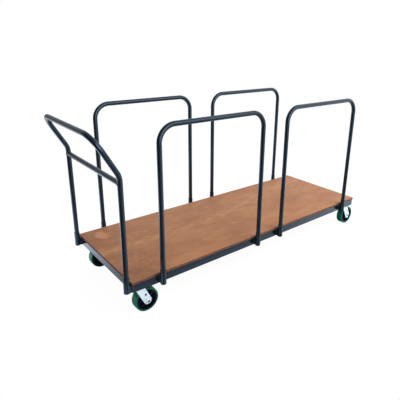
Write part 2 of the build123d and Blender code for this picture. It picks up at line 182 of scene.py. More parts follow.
for side in ("right", "left"):
    eased(f"side_rail_{side}", f"angle_side_{side}", rail_ease, powder_coat, "frame")
for end in ("rear", "front"):
    eased(f"end_rail_{end}", f"angle_end_{end}", rail_ease, powder_coat, "frame")
for number in (1, 2, 3):
    eased(f"cross_member_{number}", f"angle_cross_{number}", rail_ease, powder_coat, "frame")


# Corner pads and standoff blocks: plates welded into the frame's corners for the casters, and short bars
# of flat steel, saddled at one end, that carry the sockets off the rails. Sawn, deburred and coated.
pad_ease = 0.6 * mm
socket_groups = corners + ["handle"]
eased("caster_pads", "corner_pad_plates", pad_ease, powder_coat, "frame")
for group in socket_groups:
    node = f"standoffs_{group}"
    eased(node, f"standoff_blocks_{group}", pad_ease, powder_coat, "frame")


# Sockets: short lengths of 35 mm tube with a welded floor, drained by a hole, two for each upright and
# two for the handle. Turned off square at the mouth, with the edges broken, and coated with the frame.
socket_bore = 31.2 * mm
socket_floor = 4 * mm
socket_drain = 10 * mm
socket_foot_round = 2 * mm
socket_foot_steps = 4
socket_mouth_break = 0.7 * mm
socket_mouth_steps = 3
round_sides = 64
not_turned = (0.0, 0.0, 0.0)


def lumps(node):
    """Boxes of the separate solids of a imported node, as (low corner, high corner), in a fixed order."""
    shape = bmesh.new()
    shape.from_mesh(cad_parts[node].data)
    bmesh.ops.remove_doubles(shape, verts=shape.verts, dist=touching)
    left = set(shape.verts)
    boxes = []
    while left:
        lump = [left.pop()]
        for vert in lump:
            joined = {edge.other_vert(vert) for edge in vert.link_edges} & left
            left -= joined
            lump.extend(joined)
        points = [vert.co for vert in lump]
        low = Vector([min(axis) for axis in zip(*points)])
        high = Vector([max(axis) for axis in zip(*points)])
        boxes.append((low, high))
    shape.free()
    return sorted(boxes, key=lambda box: tuple(box[0]))


def above_middle(low, high, z):
    """Point in the middle of a box as seen from above, at a height."""
    return Vector(((low.x + high.x) / 2, (low.y + high.y) / 2, z))


def arc(centre, radius, start, end, steps):
    """Points of a round stretch of a profile, from one angle to another in degrees."""
    turns = [math.radians(start + (end - start) * i / steps) for i in range(steps + 1)]
    return [(centre[0] + radius * math.cos(t), centre[1] + radius * math.sin(t)) for t in turns]


def turned(profile, sides=round_sides):
    """Rings of a piece turned about the Z axis, from (radius, height) pairs."""
    angles = [2 * math.pi * i / sides for i in range(sides)]
    return [[Vector((r * math.cos(a), r * math.sin(a), h)) for a in angles] for r, h in profile]


def skin(shape, rings, looped=False):
    """Cover rings of points with faces; looped rings join last to first, others get flat ends."""
    rows = [[shape.verts.new(point) for point in ring] for ring in rings]
    pairs = list(zip(rows, rows[1:]))
    if looped:
        pairs.append((rows[-1], rows[0]))
    else:
        shape.faces.new(rows[0])
        shape.faces.new(rows[-1])
    for lower, upper in pairs:
        for i in range(len(lower)):
            shape.faces.new((lower[i - 1], lower[i], upper[i], upper[i - 1]))


def close_mesh(shape, name, smooth_angle=30):
    """Point the faces outwards and turn a shape into a mesh, smooth except across sharp edges."""
    bmesh.ops.recalc_face_normals(shape, faces=shape.faces)
    mesh = bpy.data.meshes.new(name)
    shape.to_mesh(mesh)
    shape.free()
    mesh.shade_smooth()
    mesh.set_sharp_from_angle(angle=math.radians(smooth_angle))
    return mesh


def new_tree(name, inputs):
    """Start a geometry tree with named inputs; returns it, their identifiers and their sockets."""
    tree = bpy.data.node_groups.new(name, "GeometryNodeTree")
    known = {}
    for title, kind in inputs.items():
        known[title] = tree.interface.new_socket(title, in_out="INPUT", socket_type=kind).identifier
    tree.interface.new_socket("Made", in_out="OUTPUT", socket_type="NodeSocketGeometry")
    return tree, known, add(tree, "NodeGroupInput")


def end_tree(tree, made, finish):
    """Close a geometry tree: real copies, one finish."""
    real = add(tree, "GeometryNodeRealizeInstances", {"Geometry": made})["Geometry"]
    done = add(tree, "GeometryNodeSetMaterial", {"Geometry": real, "Material": finish})["Geometry"]
    add(tree, "NodeGroupOutput", {"Made": done})


def run_tree(tree, known, points, edges, inputs, name):
    """Run a geometry tree on points and edges, and keep what it makes as a plain mesh."""
    base_mesh = bpy.data.meshes.new(name + "_base")
    base_mesh.from_pydata(points, edges, [])
    base = bpy.data.objects.new(name + "_base", base_mesh)
    bpy.context.scene.collection.objects.link(base)
    maker = base.modifiers.new(tree.name, "NODES")
    maker.node_group = tree
    for title, value in inputs.items():
        maker[known[title]] = value
    made = base.evaluated_get(bpy.context.evaluated_depsgraph_get())
    mesh = bpy.data.meshes.new_from_object(made)
    mesh.name = name
    base.modifiers.remove(maker)
    bpy.data.objects.remove(base)
    bpy.data.meshes.remove(base_mesh)
    return mesh


# One tree sets out copies of a small part at points, all turned the same way
copies, copies_inputs, given = new_tree(
    "copies_at_points",
    {
        "Places": "NodeSocketGeometry",
        "Part": "NodeSocketObject",
        "Turn": "NodeSocketVector",
        "Finish": "NodeSocketMaterial",
    },
)
part = add(copies, "GeometryNodeObjectInfo", {"Object": given["Part"]})["Geometry"]
turn = add(copies, "FunctionNodeEulerToRotation", {"Euler": given["Turn"]})["Rotation"]
laid = {"Points": given["Places"], "Instance": part, "Rotation": turn}
laid = add(copies, "GeometryNodeInstanceOnPoints", laid)["Instances"]
end_tree(copies, laid, given["Finish"])


def set_out(name, mesh, points, turn, finish, body):
    """Set out copies of a part's mesh at points, and show them as one piece."""
    pattern = bpy.data.objects.new(name + "_part", mesh)
    inputs = {"Part": pattern, "Turn": turn, "Finish": finish}
    made = run_tree(copies, copies_inputs, points, [], inputs, name)
    bpy.data.objects.remove(pattern)
    return show(name, made, finish, body)


socket_low, socket_high = lumps("sockets_handle")[0]
socket_radius = (socket_high.x - socket_low.x) / 2
socket_length = socket_high.z - socket_low.z
bore = socket_bore / 2
drain = socket_drain / 2
mouth = socket_length - socket_mouth_break
foot_centre = (socket_radius - socket_foot_round, socket_foot_round)
mouth_centre = (socket_radius - socket_mouth_break, mouth)
socket_profile = [(drain, socket_floor), (drain, 0)]
socket_profile += arc(foot_centre, socket_foot_round, -90, 0, socket_foot_steps)
socket_profile += arc(mouth_centre, socket_mouth_break, 0, 90, socket_mouth_steps)
socket_profile += [(bore + socket_mouth_break, socket_length), (bore, mouth), (bore, socket_floor)]
shape = bmesh.new()
skin(shape, turned(socket_profile), looped=True)
socket = close_mesh(shape, "one_socket")
for group in socket_groups:
    feet = [above_middle(low, high, low.z) for low, high in lumps(f"sockets_{group}")]
    name = f"pipe_sockets_{group}"
    piece = set_out(name, socket, feet, not_turned, powder_coat, "frame")
    shading = piece.modifiers.new("straight walls", "WEIGHTED_NORMAL")
    shading.weight = largest_face_weight
    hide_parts(f"sockets_{group}")


# Weld beads: the frame is put together with small fillet welds, laid by hand along each seam and coated
# over. Each bead is a run of overlapping ripples that wanders a little and dies away at both ends.
weld_width = 6 * mm
weld_ripple = 2.6 * mm
ripple_steps = 5
weld_sides = 10
weld_wander_mm = 9
seam_overlap = 0.3
bead_sink = 1.4 * mm
bead_stop = 4 * mm

bead, bead_inputs, given = new_tree(
    "weld_bead",
    {
        "Seams": "NodeSocketGeometry",
        "Width": "NodeSocketFloat",
        "Ripple": "NodeSocketFloat",
        "Finish": "NodeSocketMaterial",
    },
)
seam = add(bead, "GeometryNodeMeshToCurve", {"Mesh": given["Seams"]})["Curve"]
step = add(bead, "Math", {0: given["Ripple"], 1: ripple_steps}, operation="DIVIDE")["Value"]
seam = add(bead, "GeometryNodeResampleCurve", {"Curve": seam, "Length": step}, mode="LENGTH")["Curve"]
along = add(bead, "GeometryNodeSplineParameter")["Length"]
whole = add(bead, "GeometryNodeSplineLength")["Length"]
wave = add(bead, "Math", {0: along, 1: given["Ripple"]}, operation="DIVIDE")["Value"]
wave = add(bead, "Math", {0: wave}, operation="FRACT")["Value"]
swell = add(bead, "MapRange", {"Value": wave, "To Min": 1.0, "To Max": 0.78})["Result"]
wander = add(bead, "TexNoise", {"Scale": per_metre(weld_wander_mm), "Detail": 2.0})["Fac"]
wander = add(bead, "MapRange", {"Value": wander, "To Min": 0.75, "To Max": 1.25})["Result"]
half = add(bead, "Math", {0: given["Width"], 1: 0.5}, operation="MULTIPLY")["Value"]
rest = add(bead, "Math", {0: whole, 1: along}, operation="SUBTRACT")["Value"]
near_end = add(bead, "Math", {0: along, 1: rest}, operation="MINIMUM")["Value"]
fade = {"Value": near_end, "From Max": given["Width"], "To Min": 0.25}
fade = add(bead, "MapRange", fade, **SMOOTH)["Result"]
for share in (swell, wander, fade):
    half = add(bead, "Math", {0: half, 1: share}, operation="MULTIPLY")["Value"]
ring = add(bead, "GeometryNodeCurvePrimitiveCircle", {"Resolution": weld_sides, "Radius": 1.0})["Curve"]
laid = {"Curve": seam, "Profile Curve": ring, "Scale": half, "Fill Caps": True}
laid = add(bead, "GeometryNodeCurveToMesh", laid)["Mesh"]
end_tree(bead, laid, given["Finish"])


def weld(name, seams, body):
    """Lay beads along seams, each a list of points."""
    points = []
    edges = []
    for line in seams:
        edges += [(len(points) + i, len(points) + i + 1) for i in range(len(line) - 1)]
        points += line
    inputs = {"Width": weld_width, "Ripple": weld_ripple, "Finish": powder_coat}
    mesh = run_tree(bead, bead_inputs, points, edges, inputs, name)
    mesh.shade_smooth()
    show(name, mesh, powder_coat, body)


def around(points):
    """A seam that goes all the way round and a little past its start."""
    return points + [points[0], points[0].lerp(points[1], seam_overlap)]


right_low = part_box("side_rail_right")[0]
left_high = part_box("side_rail_left")[1]
rail_low = Vector((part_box("end_rail_rear")[0].x, right_low.y, right_low.z))
rail_high = Vector((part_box("end_rail_front")[1].x, left_high.y, left_high.z))
frame_middle = (rail_low + rail_high) / 2
seam_ends = (rail_low.z + bead_stop, rail_high.z - bead_stop)
corner_seams = []
for x in (rail_low.x, rail_high.x):
    for y in (rail_low.y, rail_high.y):
        sunk_x = x + math.copysign(bead_sink, frame_middle.x - x)
        sunk_y = y + math.copysign(bead_sink, frame_middle.y - y)
        corner_seams.append([Vector((sunk_x, sunk_y, z)) for z in seam_ends])
weld("weld_beads_rail_corners", corner_seams, "frame")

for group in socket_groups:
    seams = []
    pairs = zip(lumps(f"standoffs_{group}"), lumps(f"sockets_{group}"))
    for (low, high), (pipe_low, pipe_high) in pairs:
        axis = (pipe_low + pipe_high) / 2
        if group == "handle":
            out = Vector((-1, 0, 0))
            foot_point = Vector((high.x, (low.y + high.y) / 2, 0))
            half_block = (high.y - low.y) / 2
        else:
            out = Vector((0, math.copysign(1, axis.y), 0))
            foot_point = Vector(((low.x + high.x) / 2, low.y if axis.y > 0 else high.y, 0))
            half_block = (high.x - low.x) / 2
        across = Vector((-out.y, out.x, 0))
        low_z = Vector((0, 0, low.z))
        high_z = Vector((0, 0, high.z))
        foot_corners = [
            foot_point - across * half_block + low_z,
            foot_point + across * half_block + low_z,
            foot_point + across * half_block + high_z,
            foot_point - across * half_block + high_z,
        ]
        seams.append(around(foot_corners))
        reach = math.sqrt(socket_radius**2 - half_block**2)
        for s in (-1, 1):
            line = Vector((axis.x, axis.y, 0)) - out * reach + across * (s * half_block)
            seams.append([line + low_z, line + high_z])
    weld(f"weld_beads_sockets_{group}", seams, "frame")

member_seams = []
for number in (1, 2, 3):
    low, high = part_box(f"cross_member_{number}")
    for y in (low.y, high.y):
        member_seams.append([Vector((low.x, y, high.z)), Vector((high.x, y, high.z))])
for low, high in lumps("caster_pads"):
    outer_x = low.x if low.x < frame_middle.x else high.x
    outer_y = low.y if low.y < frame_middle.y else high.y
    member_seams.append([Vector((outer_x, low.y, high.z)), Vector((outer_x, high.y, high.z))])
    member_seams.append([Vector((low.x, outer_y, high.z)), Vector((high.x, outer_y, high.z))])
weld("weld_beads_under_deck", member_seams, "frame")


# Deck board: 18 mm plywood, brown-stained and varnished, screwed down on the flanges. Seven plies show at
# the sawn edges, which are eased at the top, with a fine groove at each glue line.
deck_low, deck_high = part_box("deck_board")
ply_count = 7
ply = (deck_high.z - deck_low.z) / ply_count
glue_groove = 0.25 * mm
glue_width = 0.5 * mm
deck_top_round = 1.5 * mm
deck_top_steps = 5
deck_foot_break = 0.5 * mm
deck_corner = 3 * mm
deck_corner_steps = 6
groove_angle = 20

# Stained birch-faced plywood: rotary-cut veneer, stained brown and varnished satin. Fibres run along the
# deck, the stain takes in soft blotches and goes darker and mottled at the rear end, a heart of fine tan
# streaks wanders down the middle and broadens to the front, and one patch by the handle is worn pale.
# The sawn edges have no varnish, so they are dull, and their plies are light and dark by turns.
mottle_reach = 0.9
heart_narrow = 80 * mm
heart_broad = 120 * mm
heart_sway = 30 * mm
heart_sway_mm = 240
heart_pull = 0.2
worn_place = Vector((-0.905, 0.263, 0.0))
worn_size = Vector((0.048, 0.072, 1.0))
worn_raggedness = 1.4
facing_end_share = 0.7
plywood, tree, place = start_finish("stained_plywood")
spot = add(tree, "SeparateXYZ", {"Vector": place})

# Figure drawn out along the deck, with the fibres coarser than real ones so that they show
figure = {}
for name, sizes_mm, sockets in (
    ("blotch", (230, 100, 100), {"Detail": 5.0, "Distortion": 0.6}),
    ("streak", (80, 11, 11), {"Detail": 3.0, "Distortion": 0.8}),
    ("fibre", (190, 6, 6), {"Detail": 4.0, "Roughness": 0.65}),
):
    scale = [per_metre(size) for size in sizes_mm]
    drawn = add(tree, "Mapping", {"Vector": place, "Scale": scale})["Vector"]
    sockets = {"Vector": drawn, "Scale": 1.0, **sockets}
    figure[name] = add(tree, "TexNoise", sockets)["Fac"]

blotch = {"Value": figure["blotch"], "From Min": 0.36, "From Max": 0.64}
blotch = add(tree, "MapRange", blotch, **SMOOTH)["Result"]
face = {FACTOR: blotch, COLOUR_A: linear("#B37852"), COLOUR_B: linear("#C1865D")}
face = add(tree, "Mix", face, **COLOURS)[MIXED]

# Darker stain at the rear end
mottle = add(tree, "TexNoise", {"Vector": place, "Scale": per_metre(38), "Detail": 4.0})["Fac"]
rear = add(tree, "Math", {0: mottle, 1: mottle_reach, 2: spot["X"]}, operation="MULTIPLY_ADD")["Value"]
rear = {"Value": rear, "From Min": -0.62, "From Max": -0.10, "To Min": 0.45, "To Max": 0.0}
rear = add(tree, "MapRange", rear, **SMOOTH)["Result"]

# Heart of tan streaks, and a few paler ones beside it
drift = {"Value": spot["X"], "From Min": -0.3, "From Max": 0.9, "To Min": 0.02, "To Max": 0.21}
drift = add(tree, "MapRange", drift, **SMOOTH)["Result"]
sway = add(tree, "Mapping", {"Vector": place, "Scale": (per_metre(heart_sway_mm), 0.0, 0.0)})["Vector"]
sway = add(tree, "TexNoise", {"Vector": sway, "Scale": 1.0, "Detail": 3.0})["Fac"]
sway = add(tree, "MapRange", {"Value": sway, "To Min": -heart_sway, "To Max": heart_sway})["Result"]
off_heart = add(tree, "Math", {0: spot["Y"], 1: drift}, operation="SUBTRACT")["Value"]
off_heart = add(tree, "Math", {0: off_heart, 1: sway}, operation="SUBTRACT")["Value"]
off_heart = add(tree, "Math", {0: off_heart}, operation="ABSOLUTE")["Value"]
broad = {"From Min": -0.2, "From Max": 0.6, "To Min": heart_narrow, "To Max": heart_broad}
broad = add(tree, "MapRange", {"Value": spot["X"], **broad})["Result"]
heart = {"Value": off_heart, "From Max": broad, "To Min": 1.0, "To Max": 0.0}
heart = add(tree, "MapRange", heart)["Result"]
heart = add(tree, "Math", {0: heart, 1: heart_pull, 2: figure["streak"]}, operation="MULTIPLY_ADD")["Value"]
heart = {"Value": heart, "From Min": 0.56, "From Max": 0.76, "To Max": 0.75}
heart = add(tree, "MapRange", heart, **SMOOTH)["Result"]

# Patch worn pale by the handle, with a ragged outline
worn = {"Vector": place, "Location": worn_place, "Scale": worn_size}
worn = add(tree, "Mapping", worn, vector_type="TEXTURE")["Vector"]
worn = add(tree, "VectorMath", {0: worn, 1: (1.0, 1.0, 0.0)}, operation="MULTIPLY")["Vector"]
worn = add(tree, "VectorMath", {0: worn}, operation="LENGTH")["Value"]
worn = add(tree, "Math", {0: mottle, 1: worn_raggedness, 2: worn}, operation="MULTIPLY_ADD")["Value"]
worn = {"Value": worn, "From Min": 1.1, "From Max": 1.9, "To Min": 0.95, "To Max": 0.0}
worn = add(tree, "MapRange", worn, **SMOOTH)["Result"]
for share, stain in ((rear, "#8B563C"), (heart, "#D69A6C"), (worn, "#DA986F")):
    face = add(tree, "Mix", {FACTOR: share, COLOUR_A: face, COLOUR_B: linear(stain)}, **COLOURS)[MIXED]

# Fibres, light and dark and slightly raised
fibre = add(tree, "MapRange", {"Value": figure["fibre"], "From Min": 0.3, "From Max": 0.7})["Result"]
fibre_tone = add(tree, "MapRange", {"Value": fibre, "To Min": 0.88, "To Max": 1.08})["Result"]
face = {FACTOR: 1.0, COLOUR_A: face, COLOUR_B: fibre_tone}
face = add(tree, "Mix", face, blend_type="MULTIPLY", **COLOURS)[MIXED]
relief = add(tree, "Bump", {"Strength": 0.35, "Distance": 0.08 * mm, "Height": fibre})["Normal"]

# Sawn edges: plies that lie across the cut are darker and show in dashes, and the lowest plies are darker
# still
normal = add(tree, "SeparateXYZ", {"Vector": add(tree, "NewGeometry")["Normal"]})
layer = add(tree, "Math", {0: spot["Z"], 1: deck_low.z}, operation="SUBTRACT")["Value"]
layer = add(tree, "Math", {0: layer, 1: ply}, operation="DIVIDE")["Value"]
layer = add(tree, "Math", {0: layer}, operation="FLOOR")["Value"]
facing_end = add(tree, "Math", {0: normal["X"]}, operation="ABSOLUTE")["Value"]
facing_end = add(tree, "Math", {0: facing_end, 1: facing_end_share}, operation="GREATER_THAN")["Value"]
crossed = add(tree, "Math", {0: layer, 1: facing_end}, operation="ADD")["Value"]
crossed = add(tree, "Math", {0: crossed, 1: 2.0}, operation="FLOORED_MODULO")["Value"]
dashes = add(tree, "TexNoise", {"Vector": place, "Scale": per_metre(16), "Detail": 3.0})["Fac"]
dashes = {"Value": dashes, "From Min": 0.4, "From Max": 0.62, "To Min": 0.55}
dashes = add(tree, "MapRange", dashes)["Result"]
crossed = add(tree, "Math", {0: crossed, 1: dashes}, operation="MULTIPLY")["Value"]
# Edge tones: bare unvarnished wood, darkened further as painted shade
edge = {FACTOR: crossed, COLOUR_A: linear("#7A5A52"), COLOUR_B: linear("#3A2C28")}
edge = add(tree, "Mix", edge, **COLOURS)[MIXED]
# The lowest plies darker towards the bottom of the edge
lowest_plies_darker = add(tree, "MapRange", {"Value": layer, "From Max": 3.0, "To Min": 0.35, "To Max": 1.0})["Result"]
edge = {FACTOR: 1.0, COLOUR_A: edge, COLOUR_B: lowest_plies_darker}
edge = add(tree, "Mix", edge, blend_type="MULTIPLY", **COLOURS)[MIXED]

# Varnished face and bare edge together
flat = add(tree, "Math", {0: normal["Z"]}, operation="ABSOLUTE")["Value"]
flat = add(tree, "MapRange", {"Value": flat, "From Min": 0.4, "From Max": 0.7})["Result"]
wood = add(tree, "Mix", {FACTOR: flat, COLOUR_A: edge, COLOUR_B: face}, **COLOURS)[MIXED]
satin = add(tree, "MapRange", {"Value": fibre, "To Min": 0.62, "To Max": 0.5})["Result"]
sheen = add(tree, "MapRange", {"Value": flat, "To Min": 0.08, "To Max": 0.5})["Result"]
varnish = {"Base Color": wood, "Roughness": satin, "IOR": 1.5, "Specular IOR Level": sheen}
varnish = add(tree, "BsdfPrincipled", {**varnish, "Normal": relief})["BSDF"]
add(tree, "OutputMaterial", {"Surface": varnish})


def slab_ring(inset, z):
    """Outline of the deck at a height, drawn in by an inset, with rounded corners."""
    ring = []
    for turn, x, y in (
        (0, deck_high.x, deck_high.y),
        (90, deck_low.x, deck_high.y),
        (180, deck_low.x, deck_low.y),
        (270, deck_high.x, deck_low.y),
    ):
        centre = (x + math.copysign(deck_corner, -x), y + math.copysign(deck_corner, -y))
        rounded = arc(centre, deck_corner - inset, turn, turn + 90, deck_corner_steps)
        ring += [Vector((px, py, z)) for px, py in rounded]
    return ring


deck_profile = [(deck_foot_break, deck_low.z), (0, deck_low.z + deck_foot_break)]
for number in range(1, ply_count):
    glue = deck_low.z + number * ply
    deck_profile += [(0, glue - glue_width / 2), (glue_groove, glue), (0, glue + glue_width / 2)]
deck_profile += [
    (deck_top_round - side, deck_high.z - deck_top_round + rise)
    for side, rise in arc((0, 0), deck_top_round, 0, 90, deck_top_steps)
]
shape = bmesh.new()
skin(shape, [slab_ring(inset, z) for inset, z in deck_profile])
board = close_mesh(shape, "plywood_deck", groove_angle)
deck = show("plywood_deck", board, plywood, "frame")
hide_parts("deck_board")


# Deck screws: zinc-plated hex washer-head wood screws, driven up through the steel flanges into the
# plywood. Cold formed in one piece, head, washer and shank.
screw_head = 3.5 * mm
screw_washer = 1.1 * mm
washer_land = 0.3 * mm
washer_bevel = 0.5 * mm
screw_flats = 8 * mm
screw_shank = 5.5 * mm
screw_point = 5 * mm
screw_tip = 0.2 * mm
overlap = 0.5 * mm
shank_sides = 32
hex_sides = 48
hex_land_share = 0.47
hex_cone = math.radians(30)
head_down = (math.pi, 0.0, 0.0)

# Bright zinc plate over pressed steel: bluish white, with faint straw clouds where the passivation took
# unevenly, and the slight texture of pickled sheet under it.
zinc = clouded(
    "bright_zinc_plate",
    tones=("#DEE9F0", "#E4E9EA"),
    rough=(0.28, 0.38),
    cloud_mm=34,
    grain_mm=(1.2, 1.2, 1.2),
    grain_depth=0.02 * mm,
    grain_strength=0.4,
    sockets={"Metallic": 1.0},
)


def hexed(flats, foot, top):
    """Rings of a hexagon blank whose top corners are turned off to a cone."""
    land = hex_land_share * flats
    angles = [2 * math.pi * i / hex_sides for i in range(hex_sides)]
    reach = [flats / 2 / math.cos((a + math.pi / 6) % (math.pi / 3) - math.pi / 6) for a in angles]
    shoulders = [top - (r - land) * math.tan(hex_cone) for r in reach]
    rings = []
    for radii, heights in (
        (reach, [foot] * hex_sides),
        (reach, shoulders),
        ([land] * hex_sides, [top] * hex_sides),
    ):
        points = zip(angles, radii, heights)
        rings.append([Vector((r * math.cos(a), r * math.sin(a), h)) for a, r, h in points])
    return rings


screw_boxes = lumps("deck_screws")
screw_low, screw_high = screw_boxes[0]
screw_rim = (screw_high.x - screw_low.x) / 2
hex_height = screw_head - screw_washer
screw_end = hex_height - (screw_high.z - screw_low.z)
shape = bmesh.new()
skin(shape, hexed(screw_flats, -overlap, hex_height))
screw_profile = [
    (screw_tip, screw_end),
    (screw_shank / 2, screw_end + screw_washer + screw_point),
    (screw_shank / 2, -screw_washer),
    (screw_rim, -screw_washer),
    (screw_rim, -washer_land),
    (screw_rim - washer_bevel, 0),
]
skin(shape, turned(screw_profile, shank_sides))
screw = close_mesh(shape, "one_screw")
screw_places = [above_middle(low, high, low.z + hex_height) for low, high in screw_boxes]
screws = set_out("deck_screw_set", screw, screw_places, head_down, zinc, "frame")
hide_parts("deck_screws")


# Uprights: four hoops of 30 mm steel tube, bent cold round a former in two places and coated. They stand
# loose in their sockets and lift straight out.
tube_diameter = 30 * mm
tube_wall = 2.1 * mm
upright_bend = 98 * mm
bend_steps = 20
tube_sides = 48

tube, tube_inputs, given = new_tree(
    "bent_tube",
    {
        "Line": "NodeSocketGeometry",
        "Diameter": "NodeSocketFloat",
        "Bend radius": "NodeSocketFloat",
        "Finish": "NodeSocketMaterial",
    },
)
line = add(tube, "GeometryNodeMeshToCurve", {"Mesh": given["Line"]})["Curve"]
line = {"Curve": line, "Count": bend_steps, "Radius": given["Bend radius"]}
line = add(tube, "GeometryNodeFilletCurve", line, mode="POLY")["Curve"]
radius = add(tube, "Math", {0: given["Diameter"], 1: 0.5}, operation="MULTIPLY")["Value"]
ring = add(tube, "GeometryNodeCurvePrimitiveCircle", {"Resolution": tube_sides, "Radius": radius})["Curve"]
wall = add(tube, "GeometryNodeCurveToMesh", {"Curve": line, "Profile Curve": ring})["Mesh"]
end_tree(tube, wall, given["Finish"])


def bent_tube(name, points, bend, body, node):
    """Sweep a coated tube with square-sawn ends along a line with rounded corners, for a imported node."""
    edges = [(i, i + 1) for i in range(len(points) - 1)]
    inputs = {"Diameter": tube_diameter, "Bend radius": bend, "Finish": powder_coat}
    mesh = run_tree(tube, tube_inputs, points, edges, inputs, name)
    mesh.shade_smooth()
    shape = bmesh.new()
    shape.from_mesh(mesh)
    for rim_edge in shape.edges:
        rim_edge.smooth = not rim_edge.is_boundary
    shape.to_mesh(mesh)
    shape.free()
    piece = show(name, mesh, powder_coat, body)
    hollow = piece.modifiers.new("pipe wall", "SOLIDIFY")
    hollow.thickness = tube_wall
    hollow.offset = -1
    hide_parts(node)


for corner in corners:
    low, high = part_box(f"upright_{corner}")
    y = (low.y + high.y) / 2
    left_x = low.x + tube_diameter / 2
    right_x = high.x - tube_diameter / 2
    bar = high.z - tube_diameter / 2
    hoop = [(left_x, low.z), (left_x, bar), (right_x, bar), (right_x, low.z)]
    hoop = [Vector((x, y, z)) for x, z in hoop]
    bent_tube(f"upright_hoop_{corner}", hoop, upright_bend, f"{corner}_upright", f"upright_{corner}")


# Push handle: one length of the same tube, bent into a hoop and kinked back towards the person who pushes,
# with a crossbar of tube, fish-mouthed and welded between its legs. It lifts out as the uprights do.
handle_lean = math.radians(29.8)
handle_bend = 100 * mm
saddle_steps = 40
low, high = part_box("handle_tube")
leg_x = high.x - tube_diameter / 2
grip_x = low.x + tube_diameter / 2
right_y = low.y + tube_diameter / 2
left_y = high.y - tube_diameter / 2
grip_z = high.z - tube_diameter / 2
kink_z = grip_z - (leg_x - grip_x) / math.tan(handle_lean)
handle_line = [
    Vector((leg_x, right_y, low.z)),
    Vector((leg_x, right_y, kink_z)),
    Vector((grip_x, right_y, grip_z)),
    Vector((grip_x, left_y, grip_z)),
    Vector((leg_x, left_y, kink_z)),
    Vector((leg_x, left_y, low.z)),
]
bent_tube("push_handle_hoop", handle_line, handle_bend, "push_handle", "handle_tube")

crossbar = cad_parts["handle_crossbar"]
crossbar.data.materials[0] = powder_coat
low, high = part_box("handle_crossbar")
bar_z = (low.z + high.z) / 2
r = tube_diameter / 2
turns = [2 * math.pi * i / saddle_steps for i in range(saddle_steps)]
saddles = []
for y, inward in ((right_y, r), (left_y, -r)):
    saddle = [(r * math.cos(t), inward * abs(math.sin(t)), r * math.sin(t)) for t in turns]
    saddles.append(around([Vector((leg_x + dx, y + dy, bar_z + dz)) for dx, dy, dz in saddle]))
weld("weld_beads_crossbar", saddles, "push_handle")


# Caster top plates: pressed steel, zinc plated, with the upper half of the ball race in the underside,
# bolted up under the corner pads with hex bolts and nuts.
plate_ease = 0.5 * mm
bolt_shank = 7.9 * mm
bolt_head = 5.3 * mm
bolt_chamfer = 0.8 * mm
nut_chamfer = 0.5 * mm
for corner in corners:
    eased(f"top_plate_{corner}", f"caster_plate_{corner}", plate_ease, zinc, "frame")

bolt_boxes = lumps("caster_bolts")
bolt_low, bolt_high = bolt_boxes[0]
bolt_end = bolt_head - (bolt_high.z - bolt_low.z)
bolt_flats = min(bolt_high.x - bolt_low.x, bolt_high.y - bolt_low.y)
shape = bmesh.new()
skin(shape, hexed(bolt_flats, 0, bolt_head))
shank = [(bolt_shank / 2, overlap), (bolt_shank / 2, bolt_end + bolt_chamfer)]
shank += [(bolt_shank / 2 - bolt_chamfer, bolt_end)]
skin(shape, turned(shank, shank_sides))
bolt = close_mesh(shape, "one_bolt")
bolt_places = [above_middle(low, high, low.z + bolt_head) for low, high in bolt_boxes]
bolts = set_out("caster_bolt_set", bolt, bolt_places, head_down, zinc, "frame")
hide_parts("caster_bolts")


def nut_shape(flats, height, bore_radius):
    """A hex nut chamfered on its upper side, bored through."""
    bore = [(bore_radius + nut_chamfer, height), (bore_radius, height - nut_chamfer), (bore_radius, 0)]
    shape = bmesh.new()
    skin(shape, hexed(flats, 0, height) + turned(bore, hex_sides), looped=True)
    return shape


nut_boxes = lumps("caster_nuts")
nut_low, nut_high = nut_boxes[0]
nut = close_mesh(nut_shape(bolt_flats, nut_high.z - nut_low.z, bolt_shank / 2), "one_nut")
nut_places = [above_middle(low, high, low.z) for low, high in nut_boxes]
nuts = set_out("caster_nut_set", nut, nut_places, not_turned, zinc, "frame")
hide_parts("caster_nuts")


# King pins and swivel balls: a countersunk pin through each top plate, held under the fork's crown by a
# flanged nut, with a full ring of ground steel balls between plate and crown.
kingpin_nut_flats = 19 * mm
kingpin_flange = 3 * mm
kingpin_radius = 6.4 * mm
flange_break = 0.4 * mm
flange_rim_share = 0.6
flange_cone_share = 0.6

# Bearing steel, hardened and ground: bright grey with a slight haze. Its grinding marks are drawn coarser
# than real ones so that they show.
steel = clouded(
    "ground_bearing_steel",
    tones=("#B4B9BE", "#A2A8AE"),
    rough=(0.16, 0.24),
    cloud_mm=12,
    grain_mm=(0.8, 0.8, 0.8),
    grain_depth=0.004 * mm,
    grain_strength=0.4,
    sockets={"Metallic": 1.0},
)
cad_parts["kingpins"].data.materials[0] = steel

pin_nut_boxes = lumps("kingpin_nuts")
pin_nut_low, pin_nut_high = pin_nut_boxes[0]
flange_radius = (pin_nut_high.x - pin_nut_low.x) / 2
shape = nut_shape(kingpin_nut_flats, pin_nut_high.z - pin_nut_low.z, kingpin_radius)
flange_profile = [
    (kingpin_radius, 0),
    (flange_radius - flange_break, 0),
    (flange_radius, flange_break),
    (flange_radius, flange_rim_share * kingpin_flange),
    (flange_cone_share * kingpin_nut_flats, kingpin_flange),
    (kingpin_radius, kingpin_flange),
]
skin(shape, turned(flange_profile), looped=True)
pin_nut = close_mesh(shape, "one_flange_nut")
pin_nut_places = [above_middle(low, high, high.z) for low, high in pin_nut_boxes]
pin_nuts = set_out("kingpin_nut_set", pin_nut, pin_nut_places, head_down, zinc, "frame")
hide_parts("kingpin_nuts")

ball_boxes = lumps("swivel_balls")
ball_low, ball_high = ball_boxes[0]
shape = bmesh.new()
bmesh.ops.create_icosphere(shape, subdivisions=4, radius=(ball_high.x - ball_low.x) / 2)
ball = close_mesh(shape, "one_ball")
ball_places = [(low + high) / 2 for low, high in ball_boxes]
balls = set_out("swivel_ball_rings", ball, ball_places, not_turned, steel, "frame")
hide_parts("swivel_balls")


